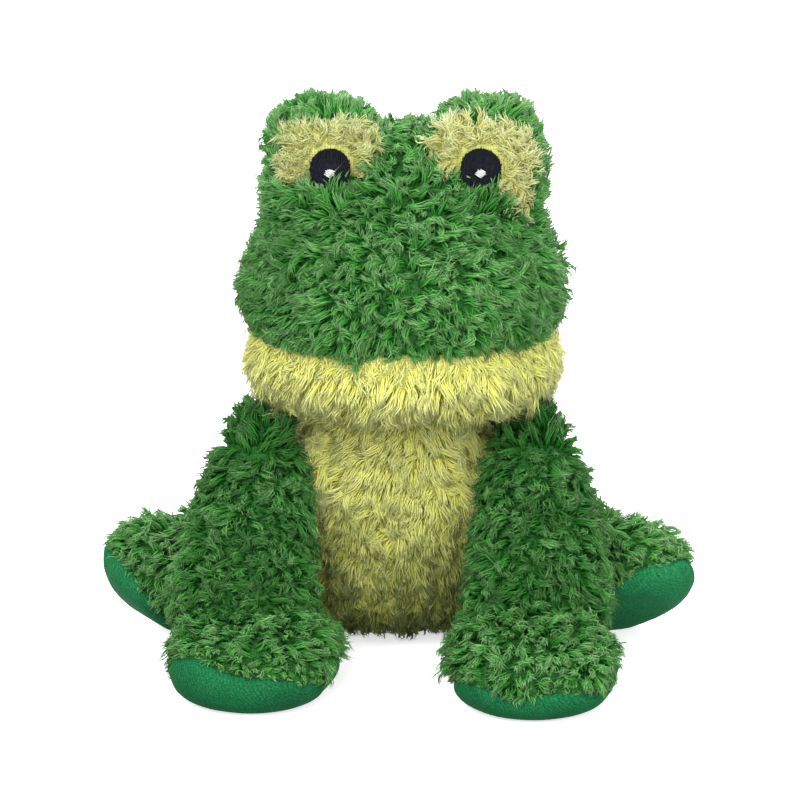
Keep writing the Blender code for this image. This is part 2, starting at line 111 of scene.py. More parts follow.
# Where stuffing shifts a skin: ramps (axis, from, to) that give the share of the move, and the move
MOULDS = {
    "head": (((0, -0.030, -0.055), (2, 0.215, 0.200)), (-0.0022, 0, 0)),
    "leg_right": (((2, 0.040, 0.018), (0, -0.075, -0.100)), (0, 0, -0.0060)),
    "arm_left": (((2, 0.084, 0.100),), (0, 0, 0.0045)),
    "arm_right": (((2, 0.084, 0.100),), (0, 0, 0.0045)),
}

# What each panel is: its skin's name, its slot, and how deep the pile's backing lies
PANELS = {
    "torso": {
        "torso_belly": ("belly_skin", "yellow_pile", 0.0050),
        "torso_back": ("back_skin", "green_pile", 0.0050),
    },
    "head": {
        "head_upper": ("muzzle_and_crown_skin", "green_pile", 0.0052),
        "head_jaw": ("jaw_skin", "yellow_pile", 0.0048),
        "head_nape": ("nape_skin", "green_pile", 0.0050),
    },
}
for _side in SIDES:
    PANELS["head"]["eye_mound_" + _side] = ("eye_mound_skin_" + _side, "green_pile", 0.0050)
    PANELS["head"]["eye_patch_" + _side] = ("eye_patch_skin_" + _side, "yellow_pile", 0.0008)
    PANELS["arm_" + _side] = {
        "arm_" + _side: ("arm_skin_" + _side, "green_pile", 0.0050),
        "front_foot_upper_" + _side: ("front_foot_skin_" + _side, "green_pile", 0.0046),
        "front_foot_sole_" + _side: ("front_sole_" + _side, "green_velour", 0.0003),
    }
    PANELS["leg_" + _side] = {
        "leg_" + _side: ("leg_skin_" + _side, "green_pile", 0.0046),
        "hind_foot_upper_" + _side: ("hind_foot_skin_" + _side, "green_pile", 0.0046),
        "hind_foot_sole_" + _side: ("hind_sole_" + _side, "green_velour", -0.0022),
    }
FILLINGS = {"torso": "torso_filling", "head": "head_filling"}
for _side in SIDES:
    FILLINGS["arm_" + _side] = "arm_filling_" + _side
    FILLINGS["leg_" + _side] = "leg_filling_" + _side

# Strands of pile
CURL_STEPS = (0.0, 0.36, 0.72, 1.0)  # where a strand's rings are, from root to tip
CRIMP_STEPS = (0.0, 0.20, 0.40, 0.60, 0.80, 1.0)
STITCH_STEPS = (0.0, 0.15, 0.50, 0.85, 1.0)
STRAND_SIDES = 3
SHADES = 32  # columns of the strand's own map, each with its own shade
ROOT_DEPTH = 0.0006
MOST_TRIANGLES = 190000  # in one piece of pile
FLOOR_REACH = 0.0004  # no strand comes lower

# How unlike the locks are, and the strands in each: spreads, or limits in a pair
LOCK_TURNS = 0.7  # away from the comb, by chance
LOCK_DRIFT = 1.2  # and drifting over the panel
FULLNESS = 0.16
BLOTCH = 0.016  # the reach over which that drifts
LOCK_LENGTHS = 0.16
LENGTH_LIMITS = (0.6, 1.4)
LOCK_HEIGHTS = 0.20
STRAND_LENGTHS = (0.82, 1.1)
STRAND_HEIGHTS = (0.8, 1.1)
STRAND_PHASES = 0.6
STRAND_HOOKS = 0.10
STRAND_CURLS = 0.3  # as a share of the locks' own spread
STRAND_TIPS = (0.2, 1.0)
STRAND_RADII = (0.7, 1.3)
LOCK_WAVES = (0.5, 1.5)
LOCK_TWISTS = 2.0
LOCK_SHADES = 0.15
STRAND_SHADES = 0.10
SHADE_DRIFT = 0.17
SHADE_REACH = 0.026

# Eyes
PUPIL_ROOM = 0.0006  # bare fabric round a pupil
PUPIL_COVER = 0.0028  # how high the muzzle's pile stands over a pupil's lower edge
PUPIL_BAND = (0.0105, 0.0060, 0.0065)  # that pile's reach in x, its middle's depth and reach in z
PUPIL_STITCH = 0.0005  # from one stitch to the next
PUPIL_THREAD = 0.00034
HIGHLIGHT_THREAD = 0.00036
HIGHLIGHT_LIFT = 0.0012  # over the pupil
HIGHLIGHT_HALF = 0.0019  # of its longest stitch
HIGHLIGHT_SPREAD = (0.0010, 0.0011)  # from its middle to its last stitches, in x and z
RAGGED_END = 0.0004  # how far the pupil's stitches run over its edge
THREAD_SLIP = 0.0003  # how far a stitch is out of place
FACE_BACK = -0.03  # what lies behind this is no part of the face
PATCH_LOW = 0.0030  # how far over a pupil's lower edge the muzzle's panel reaches
PATCH_FALL = {"left": 0.80, "right": 0.15}  # how steeply that edge falls to the outer side
PATCH_TOP = 0.2385
PATCH_CORNER = 0.018  # past here the upper edge drops steeply
PATCH_OUT = 0.0225  # from the pupil's middle to the patch's outer and inner edges
PATCH_IN = 0.0205

# Camera and light
CAMERA_DISTANCE = 2.5
CAMERA_ELEVATION = radians(15)
VIEW_WIDTH = 0.3448
VIEW_CENTRE = Vector((0.0017, -0.040, 0.1147))
SENSOR = 36.0
FLOOR_SIZE = 6
FLOOR_GLOW = 0.62  # what the floor adds to its own shade for the viewer, so that it ends up white
WORLD_LEVEL = 0.90
LAMPS = (  # place, size and power
    ("key", (-0.5, -1.4, 1.0), 1.1, 32),
    ("fill", (0.8, -1.5, 0.35), 1.1, 24),
    ("top", (0.0, 0.2, 1.7), 0.9, 10),
    ("back", (0.2, 1.6, 0.9), 1.0, 24),
)


# Materials


def new_material(name):
    made = bpy.data.materials.new(name)
    made.use_nodes = True
    return made, made.node_tree, made.node_tree.nodes["Principled BSDF"]


def plug(tree, made, **values):
    """Gives each input a value or another node's output. Numbered inputs go by _0, _1 and so on."""
    for key, value in values.items():
        slot = made.inputs[int(key[1:]) if key[0] == "_" else key.replace("_", " ")]
        if isinstance(value, bpy.types.NodeSocket):
            tree.links.new(value, slot)
        else:
            slot.default_value = value


def node(tree, kind, traits=None, **values):
    made = tree.nodes.new("ShaderNode" + kind)
    for key, value in (traits or {}).items():
        setattr(made, key, value)
    plug(tree, made, **values)
    return made


def ramp(tree, value, stops):
    made = node(tree, "ValToRGB", Fac=value)
    elements = made.color_ramp.elements
    while len(elements) < len(stops):
        elements.new(0.5)
    for element, (place, colour) in zip(elements, stops):
        element.position = place
        element.color = (*colour, 1.0)
    return made.outputs["Color"]


def noise(tree, place, scale, detail, traits=None):
    made = node(tree, "TexNoise", traits, Vector=place, Scale=scale, Detail=detail)
    return made.outputs["Fac"]


def scaled(tree, colour, value, low, high, ends=(0.3, 0.7)):
    """The colour times a noise's value, which goes from low to high between its ends."""
    level = node(tree, "MapRange", _0=value, _1=ends[0], _2=ends[1], _3=low, _4=high).outputs[0]
    return node(tree, "VectorMath", {"operation": "SCALE"}, _0=colour, Scale=level).outputs[0]


def surfaced(tree, shader, colour, relief, depth, roughness, gloss, strength=0.5, invert=False):
    """Gives the shader a colour, a relief of this depth, a roughness and a gloss."""
    traits = {"invert": invert}
    bump = node(tree, "Bump", traits, Strength=strength, Distance=depth, Height=relief)
    plug(tree, shader, Base_Color=colour, Normal=bump.outputs[0])
    plug(tree, shader, Roughness=roughness, Specular_IOR_Level=gloss)


def pile_material(name, root, body, tip, shades, streaks, soft, glow):
    """Fibre pile from root to tip, in shades from one side of the strands' map to the other."""
    made, tree, shader = new_material(name)
    place = node(tree, "UVMap", {"uv_map": "OFBake"}).outputs["UV"]
    split = node(tree, "SeparateXYZ", _0=place).outputs
    along = ramp(tree, split["Y"], ((0.0, root), (0.45, body), (1.0, tip)))
    level = ramp(tree, split["X"], shades)
    toned = node(tree, "VectorMath", {"operation": "MULTIPLY"}, _0=along, _1=level).outputs[0]
    stretched = node(tree, "Mapping", Vector=place, Scale=(SHADES * 3.4, 3.5, 1.0)).outputs[0]
    streak = noise(tree, stretched, scale=1.0, detail=2.0, traits={"noise_dimensions": "2D"})
    colour = scaled(tree, toned, streak, *streaks, ends=(0.28, 0.72))
    surfaced(tree, shader, colour, streak, depth=0.0001, roughness=0.6, gloss=0.12)
    plug(tree, shader, Subsurface_Weight=soft, Subsurface_Scale=glow)
    plug(tree, shader, Subsurface_Radius=(0.7, 1.0, 0.5))
    return made


def knit_material(name, thread, gap, cell=0.0011):
    """The knitted backing, with small dark holes between its loops."""
    made, tree, shader = new_material(name)
    place = node(tree, "TexCoord").outputs["Object"]
    loops = node(tree, "TexVoronoi", Vector=place, Scale=1.0 / cell, Randomness=0.35)
    loops = loops.outputs["Distance"]
    tone = ramp(tree, loops, ((0.30, thread), (0.58, tuple(0.75 * c for c in thread)), (0.72, gap)))
    cloud = noise(tree, place, scale=90.0, detail=3.0)
    colour = scaled(tree, tone, cloud, low=0.80, high=1.15)
    holes = dict(depth=0.0004, strength=0.6, invert=True)
    surfaced(tree, shader, colour, loops, roughness=0.9, gloss=0.1, **holes)
    return made


def velour_material(name, dark, body, light):
    """Short brushed nap with faint slanting ribs."""
    made, tree, shader = new_material(name)
    place = node(tree, "TexCoord").outputs["Object"]
    turn = (radians(12), radians(24), radians(35))
    turned = node(tree, "Mapping", Vector=place, Rotation=turn).outputs[0]
    waves = dict(Scale=240.0, Distortion=3.0, Detail=3.0, Detail_Scale=2.0)
    ribs = node(tree, "TexWave", Vector=turned, **waves).outputs["Fac"]
    grain = noise(tree, place, scale=1500.0, detail=2.0)
    total = node(tree, "Math", {"operation": "MULTIPLY_ADD"}, _0=ribs, _1=0.12, _2=grain)
    total = total.outputs[0]
    tone = ramp(tree, total, ((0.32, dark), (0.56, body), (0.80, light)))
    cloud = noise(tree, place, scale=38.0, detail=3.0)
    colour = scaled(tree, tone, cloud, low=0.86, high=1.12)
    surfaced(tree, shader, colour, total, depth=0.0002, roughness=0.8, gloss=0.06)
    return made


def thread_material(name, dark, light, roughness, gloss):
    """Embroidery thread or loose fibre."""
    made, tree, shader = new_material(name)
    place = node(tree, "TexCoord").outputs["Object"]
    fibre = noise(tree, place, scale=1700.0, detail=3.0)
    tone = ramp(tree, fibre, ((0.32, dark), (0.70, light)))
    surfaced(tree, shader, tone, fibre, depth=0.0002, roughness=roughness, gloss=gloss)
    return made


GREEN_SHADES = (
    (0.0, (0.45, 0.55, 0.45)),
    (0.5, (1.0, 1.0, 1.0)),
    (1.0, (1.65, 1.40, 1.65)),
)
# The dark end of these shades serves the belly's painted shade.
YELLOW_SHADES = (
    (0.0, (0.10, 0.15, 0.07)),
    (0.36, (0.82, 0.84, 0.78)),
    (0.52, (1.0, 1.0, 1.0)),
    (1.0, (1.08, 1.08, 1.20)),
)
GREEN_PILE = pile_material(
    "green_curly_pile",
    root=(0.014, 0.145, 0.012),
    body=(0.034, 0.180, 0.025),
    tip=(0.118, 0.272, 0.088),
    shades=GREEN_SHADES,
    streaks=(0.54, 1.42),
    soft=0.4,
    glow=0.0012,
)
# Its roots are painted lighter than its tips, as painted light that lifts the shade deep in the
# pile; the paler, creamier tips are the fibre's own.
YELLOW_PILE = pile_material(
    "yellow_silky_pile",
    root=(0.850, 0.845, 0.120),
    body=(0.755, 0.775, 0.192),
    tip=(0.600, 0.640, 0.260),
    shades=YELLOW_SHADES,
    streaks=(0.92, 1.08),
    soft=0.3,
    glow=0.0030,
)
PATCH_PILE = pile_material(
    "yellow_sparse_pile",
    root=(0.500, 0.510, 0.110),
    body=(0.560, 0.590, 0.170),
    tip=(0.690, 0.745, 0.305),
    shades=YELLOW_SHADES,
    streaks=(0.90, 1.08),
    soft=0.5,
    glow=0.0030,
)
GREEN_KNIT = knit_material("green_backing", (0.020, 0.100, 0.018), (0.008, 0.035, 0.008))
YELLOW_KNIT = knit_material("yellow_backing", (0.450, 0.460, 0.140), (0.240, 0.225, 0.055))
VELOUR = velour_material(
    "teal_green_velour", (0.002, 0.044, 0.012), (0.006, 0.090, 0.030), (0.016, 0.140, 0.054)
)
HIND_VELOUR = velour_material(
    "light_green_velour", (0.004, 0.064, 0.018), (0.010, 0.128, 0.044), (0.025, 0.195, 0.078)
)
BLACK_THREAD = thread_material(
    "black_stitching", (0.002, 0.003, 0.005), (0.010, 0.012, 0.020), roughness=0.6, gloss=0.10
)
WHITE_THREAD = thread_material(
    "white_satin_stitch", (0.50, 0.50, 0.50), (0.72, 0.72, 0.71), roughness=0.45, gloss=0.30
)
FIBRE_FILL = thread_material(
    "loose_fibre_fill", (0.62, 0.62, 0.60), (0.80, 0.80, 0.78), roughness=0.9, gloss=0.20
)
BAG_CLOTH = thread_material(
    "plain_bag_cloth", (0.46, 0.44, 0.38), (0.62, 0.60, 0.54), roughness=0.9, gloss=0.20
)
SKIN_LOOKS = {"green_pile": GREEN_KNIT, "yellow_pile": YELLOW_KNIT, "green_velour": VELOUR}
PILE_LOOKS = {"green_pile": GREEN_PILE, "yellow_pile": YELLOW_PILE}


# Helpers for meshes


def unit(vectors):
    return vectors / np.maximum(np.linalg.norm(vectors, axis=-1, keepdims=True), 1e-12)


def drift(points, reach, seed):
    """A smooth value, mostly from -1 to 1, that wanders over the given reach."""
    chance = np.random.default_rng(seed)
    waves = unit(chance.normal(0, 1, (DRIFT_WAVES, 3))) * (2 * pi / reach)
    waves *= chance.uniform(0.6, 1.4, (DRIFT_WAVES, 1))
    phases = chance.uniform(0, 2 * pi, DRIFT_WAVES)
    return np.sin(points @ waves.T + phases).sum(1) / DRIFT_SPAN


def rising(values, start, span, most=1):
    """0 up to the start, 1 a span further on, and in between in a straight line."""
    return np.clip((values - start) / span, 0, most)


def means(values, taken, into, size):
    """Each value taken goes into one of the places; the mean of what is in each."""
    total = np.zeros((size,) + values.shape[1:])
    np.add.at(total, into, values[taken])
    count = np.maximum(np.bincount(into, minlength=size), 1)
    return total / count.reshape((-1,) + (1,) * (values.ndim - 1))


def point_tree(points):
    tree = KDTree(len(points))
    for index, point in enumerate(points):
        tree.insert(point, index)
    tree.balance()
    return tree


def link(name, mesh):
    made = bpy.data.objects.new(name, mesh)
    bpy.context.scene.collection.objects.link(made)
    return made


def linked(name, bm, look=None):
    """A new object of this bmesh, which is used up. With a look it is smooth."""
    mesh = bpy.data.meshes.new(name)
    bm.to_mesh(mesh)
    bm.free()
    if look:
        mesh.shade_smooth()
        mesh.materials.append(look)
    return link(name, mesh)


def settled(thing):
    """The object's mesh with its modifiers applied."""
    bpy.context.view_layer.update()
    graph = bpy.context.evaluated_depsgraph_get()
    return bpy.data.meshes.new_from_object(thing.evaluated_get(graph))


def merged(names):
    """One bmesh of these CAD nodes, each one's loose triangles merged."""
    bm = bmesh.new()
    for name in names:
        bm.from_mesh(frame["nodes"][name].data)
    bmesh.ops.remove_doubles(bm, verts=bm.verts, dist=DOUBLES)
    return bm


def nearness(names):
    """A tree for distances to these CAD nodes."""
    bm = merged(names)
    tree = BVHTree.FromBMesh(bm)
    bm.free()
    return tree


def distances(tree, points, most=1.0):
    found = np.full(len(points), most)
    for index, point in enumerate(points):
        distance = tree.find_nearest(point, most)[3]
        if distance is not None:
            found[index] = distance
    return found


def pupil_disc(name):
    """A pupil's middle in x and z, its radius and its lower edge."""
    low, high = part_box("pupil_" + name)
    return (low.x + high.x) / 2, (low.z + high.z) / 2, (high.x - low.x) / 2, low.z


def from_pupil(name, points):
    """How far each point lies from a pupil's middle, seen from the front."""
    x, z = pupil_disc(name)[:2]
    return np.hypot(points[:, 0] - x, points[:, 2] - z)


def remeshed(bm, cell):
    """One closed skin round everything in the bmesh, in even faces. The largest island is kept."""
    thing = linked("remesh_source", bm)
    change = thing.modifiers.new("even", "REMESH")
    change.mode = "VOXEL"
    change.voxel_size = cell
    made = settled(thing)
    bpy.data.objects.remove(thing, do_unlink=True)
    bm = bmesh.new()
    bm.from_mesh(made)
    bm.verts.ensure_lookup_table()
    island = np.full(len(bm.verts), -1)
    count = 0
    for start in bm.verts:
        if island[start.index] >= 0:
            continue
        island[start.index] = count
        stack = [start]
        while stack:
            for edge in stack.pop().link_edges:
                for vert in edge.verts:
                    if island[vert.index] < 0:
                        island[vert.index] = count
                        stack.append(vert)
        count += 1
    keep = np.bincount(island).argmax()
    bmesh.ops.delete(bm, geom=[v for v in bm.verts if island[v.index] != keep], context="VERTS")
    return bm


class Skin:
    """The closed skin of one body: points, faces and the panel that each face belongs to."""

    def __init__(self, body):
        self.body = body
        self.names = list(PANELS[body])
        bm = remeshed(merged(self.names + [FILLINGS[body]]), KNIT_CELL)
        bm.faces.ensure_lookup_table()
        bm.verts.index_update()
        self.faces = [[v.index for v in f.verts] for f in bm.faces]
        self.edges = np.array([[v.index for v in e.verts] for e in bm.edges])
        self.edge_faces = np.array(
            [[e.link_faces[0].index, e.link_faces[-1].index] for e in bm.edges]
        )
        self.points = np.array([v.co for v in bm.verts])
        bm.free()
        self.corner_face = np.repeat(np.arange(len(self.faces)), [len(f) for f in self.faces])
        self.corner_vert = np.concatenate(self.faces)
        centres = self.face_means(self.points)
        trees = [nearness([name]) for name in self.names]
        self.label = np.argmin([distances(tree, centres) for tree in trees], axis=0)
        if body == "head":
            self.shape_patches(centres)
        for index, name in enumerate(self.names):
            if name in SOLE_EDGES:
                self.shape_sole(index, *SOLE_EDGES[name])
        others = [name for name, thing in frame["nodes"].items() if thing["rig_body"] != body]
        self.clear = distances(nearness(others), centres, ROOM_MOST)
        self.joint_face = self.clear < JOINT_REACH
        self.smooth_seams()

    def shape_patches(self, centres):
        """The muzzle reaches the pupils and the patches' inner corners; green rims their tops."""
        for name, side in SIDES.items():
            x, _, radius, bottom = pupil_disc(name)
            out = side * (centres[:, 0] - x)
            outward, inward = np.clip(out, 0, 1), np.clip(-out - radius, 0, 1)
            corner = np.clip(out - PATCH_CORNER, 0, 1)
            lower = bottom + PATCH_LOW - PATCH_FALL[name] * outward + 0.7 * inward
            upper = PATCH_TOP - 0.12 * outward - 2.2 * corner - 0.3 * inward
            patch = self.label == self.names.index("eye_patch_" + name)
            rim = (centres[:, 2] > upper) | (out > PATCH_OUT) | (out < -PATCH_IN)
            self.label[patch & rim] = self.names.index("eye_mound_" + name)
            self.label[patch & (centres[:, 2] < lower)] = self.names.index("head_upper")

    def shape_sole(self, index, across, edge):
        """The velour ends along a line that the photographed foot shows from the front."""
        centres, facing = self.face_means(self.points), self.face_means(self.normals())
        upper = self.names.index(self.names[index].replace("sole", "upper"))
        seen = centres[:, 2] * cos(CAMERA_ELEVATION) + centres[:, 1] * sin(CAMERA_ELEVATION)
        line = np.interp(centres[:, 0], across, edge)
        front = (facing[:, 1] < FRONT_FACING) & np.isin(self.label, (index, upper))
        self.label[front & (seen > line)] = upper
        self.label[front & (seen <= line)] = index

    def face_means(self, values):
        return means(values, self.corner_vert, self.corner_face, len(self.faces))

    def vert_means(self, values):
        return means(values, self.corner_face, self.corner_vert, len(self.points))

    def blurred(self, values, times, edges=None, only=None):
        """Each point's value averaged with its neighbours'."""
        edges = self.edges if edges is None else edges
        values = values.astype(float)
        count = np.bincount(edges.ravel(), minlength=len(self.points)).astype(float)
        chosen = (count > 0) if only is None else (count > 0) & only
        count = np.maximum(count, 1).reshape((-1,) + (1,) * (values.ndim - 1))
        for _ in range(times):
            total = np.zeros_like(values)
            np.add.at(total, edges[:, 0], values[edges[:, 1]])
            np.add.at(total, edges[:, 1], values[edges[:, 0]])
            moved = 0.5 * values + 0.5 * (total / count)
            values[chosen] = moved[chosen]
        return values

    def smooth_seams(self):
        """A seam runs in a smooth line, and the faces round it follow."""
        for _ in range(3):
            self.despeckle()
        labels = self.label[self.edge_faces]
        seam = self.edges[labels[:, 0] != labels[:, 1]]
        self.on_seam = np.isin(np.arange(len(self.points)), seam)
        self.points = self.blurred(self.points, 8, edges=seam)
        self.points = self.blurred(self.points, 3, only=~self.on_seam)

    def despeckle(self):
        """A face whose neighbours mostly lie in another panel joins them."""
        votes = np.zeros((len(self.faces), len(self.names)))
        np.add.at(votes, (self.edge_faces[:, 0], self.label[self.edge_faces[:, 1]]), 1)
        np.add.at(votes, (self.edge_faces[:, 1], self.label[self.edge_faces[:, 0]]), 1)
        best = votes.argmax(1)
        self.label = np.where(votes.max(1) >= 3, best, self.label)

    def normals(self):
        corners = self.points[np.array([f[:3] for f in self.faces])]
        flat = np.cross(corners[:, 1] - corners[:, 0], corners[:, 2] - corners[:, 0])
        return unit(self.vert_means(unit(flat)))

    def draw_in(self):
        """The backing lies under the pile, and every seam is drawn in a little more."""
        depth = np.array([PANELS[self.body][name][2] for name in self.names])[self.label]
        depth = depth * np.clip(self.clear / PILE_ROOM, LEAST_DEPTH, 1)
        depth = np.where(self.joint_face, JOINT_DEPTH, depth)
        inset = self.blurred(self.vert_means(depth), 2)
        groove = self.blurred(self.on_seam.astype(float), 2) * SEAM_DIP
        groove *= 1 + 0.7 * drift(self.points, SEAM_WANDER, 9)
        normals = self.blurred(self.normals(), 2)
        self.points = self.points - normals * (inset + groove)[:, None]
        self.points = self.blurred(self.points, 2, only=~self.on_seam)
        if self.body in MOULDS:
            ramps, move = MOULDS[self.body]
            across = self.points.T
            shares = [rising(across[axis], start, end - start) for axis, start, end in ramps]
            self.points += np.prod(shares, axis=0)[:, None] * np.array(move)
        self.points[:, 2] = np.maximum(self.points[:, 2], FLOOR_CLEAR)

    def mesh(self, name):
        made = bpy.data.meshes.new(name)
        made.from_pydata(self.points.tolist(), [], self.faces)
        return made

    def swell(self):
        """The stuffing presses the skin out between its seams."""
        thing = link("swelling_" + self.body, self.mesh("swelling"))
        held = thing.vertex_groups.new(name="held")
        fixed = self.on_seam | (self.vert_means(self.joint_face.astype(float)) > HELD_SHARE)
        held.add(np.nonzero(fixed)[0].tolist(), 1.0, "REPLACE")
        cloth = thing.modifiers.new("swell", "CLOTH")
        cloth.settings.use_pressure = True
        cloth.settings.uniform_pressure_force = SWELL_PRESSURE
        cloth.settings.effector_weights.gravity = 0.0
        cloth.settings.vertex_group_mass = "held"
        cloth.point_cache.frame_start = 1
        cloth.point_cache.frame_end = SWELL_FRAMES
        scene = bpy.context.scene
        for step in range(1, SWELL_FRAMES + 1):
            scene.frame_set(step)
        made = settled(thing)
        swollen = np.empty(len(self.points) * 3)
        made.vertices.foreach_get("co", swollen)
        scene.frame_set(1)
        bpy.data.objects.remove(thing, do_unlink=True)
        move = swollen.reshape(-1, 3) - self.points
        size = np.linalg.norm(move, axis=1, keepdims=True)
        move *= np.minimum(1.0, SWELL_MOST / np.maximum(size, 1e-9))
        move[~np.isfinite(move).all(1)] = 0
        self.points = self.points + self.blurred(move, 2)
        self.points[:, 2] = np.maximum(self.points[:, 2], FLOOR_CLEAR)

    def scatter(self, chosen, each):
        """Places on the chosen faces, a few on each, with their normals and the room above."""
        rows = np.repeat(np.nonzero(chosen)[0], each)
        corners = np.array(self.faces)[rows]
        u, v = RANDOM.uniform(0, 1, (2, len(rows), 1))
        weights = ((1 - u) * (1 - v), u * (1 - v), u * v, (1 - u) * v)
        normals = self.normals()
        places = sum(weight * self.points[corners[:, k]] for k, weight in enumerate(weights))
        facing = sum(weight * normals[corners[:, k]] for k, weight in enumerate(weights))
        return places, unit(facing), self.clear[rows]

    def seam_distances(self, one, other, places):
        """How far each place lies from the seam between two panels."""
        pair = [self.names.index(one), self.names.index(other)]
        labels = np.sort(self.label[self.edge_faces], axis=1)
        on_it = np.unique(self.edges[(labels == sorted(pair)).all(1)])
        seam = point_tree(self.points[on_it])
        return np.array([seam.find(place)[2] for place in places])

    def panel(self, index):
        """One panel as a piece of fabric with a thickness."""
        name, slot_name, _ = PANELS[self.body][self.names[index]]
        bm = bmesh.new()
        bm.from_mesh(self.mesh(name))
        bm.faces.ensure_lookup_table()
        outside = [f for f in bm.faces if self.label[f.index] != index]
        bmesh.ops.delete(bm, geom=outside, context="FACES")
        made = linked(name, bm, HIND_VELOUR if "hind_sole" in name else SKIN_LOOKS[slot_name])
        if slot_name not in PILE_LOOKS or "patch" in name:  # the rest hides under its pile
            finer = made.modifiers.new("finer", "SUBSURF")
            finer.levels = finer.render_levels = 1
        wall = made.modifiers.new("wall", "SOLIDIFY")
        wall.thickness = SKIN_THICKNESS
        wall.offset = -1
        return made


# Pile


def strand_template(steps):
    """A straight three-sided strand that ends in a point, made ring by ring."""
    bm = bmesh.new()
    made = bmesh.ops.create_circle(bm, cap_ends=True, segments=STRAND_SIDES, radius=1)["verts"]
    edges = list({edge for vert in made for edge in vert.link_edges})
    for _ in steps[1:]:
        made = bmesh.ops.extrude_edge_only(bm, edges=edges)["geom"]
        edges = [item for item in made if isinstance(item, bmesh.types.BMEdge)]
        verts = [item for item in made if isinstance(item, bmesh.types.BMVert)]
        bmesh.ops.translate(bm, vec=(0, 0, 1.0), verts=verts)
        edges = [edge for edge in edges if all(vert in verts for vert in edge.verts)]
    bmesh.ops.pointmerge(bm, verts=verts, merge_co=(0, 0, len(steps) - 1))
    bmesh.ops.recalc_face_normals(bm, faces=bm.faces)
    bm.verts.index_update()
    points = np.array([v.co for v in bm.verts])
    faces = [[v.index for v in f.verts] for f in bm.faces]
    bm.free()
    return points, faces


TEMPLATES = {steps: strand_template(steps) for steps in (CURL_STEPS, CRIMP_STEPS, STITCH_STEPS)}


def gather(roots, spacing):
    """The roots in the middle of each lock, and the lock that each root belongs to."""
    every = point_tree(roots)
    taken = np.zeros(len(roots), bool)
    middles = []
    for index in RANDOM.permutation(len(roots)):
        if not taken[index]:
            middles.append(index)
            taken[[row for _, row, _ in every.find_range(roots[index], spacing)]] = True
    chosen = point_tree(roots[middles])
    return np.array(middles), np.array([chosen.find(point)[1] for point in roots])


def strands_round(steps, centre, radius, out, wide_share=1.4, thick_share=0.75):
    """The template's points laid round each centre line, flat side out."""
    run = unit(np.gradient(centre, axis=1))
    wide = unit(np.cross(out[:, np.newaxis] + 0 * run, run))
    thick = np.cross(run, wide)
    template = TEMPLATES[steps][0]
    ring = np.rint(template[:, 2]).astype(int)
    side_x, side_y = (template[None, :, axis, None] for axis in (0, 1))
    aside = side_x * wide[:, ring] * wide_share + side_y * thick[:, ring] * thick_share
    points = centre[:, ring] + radius[:, ring][..., None] * aside
    points[..., 2] = np.maximum(points[..., 2], FLOOR_REACH)
    return points


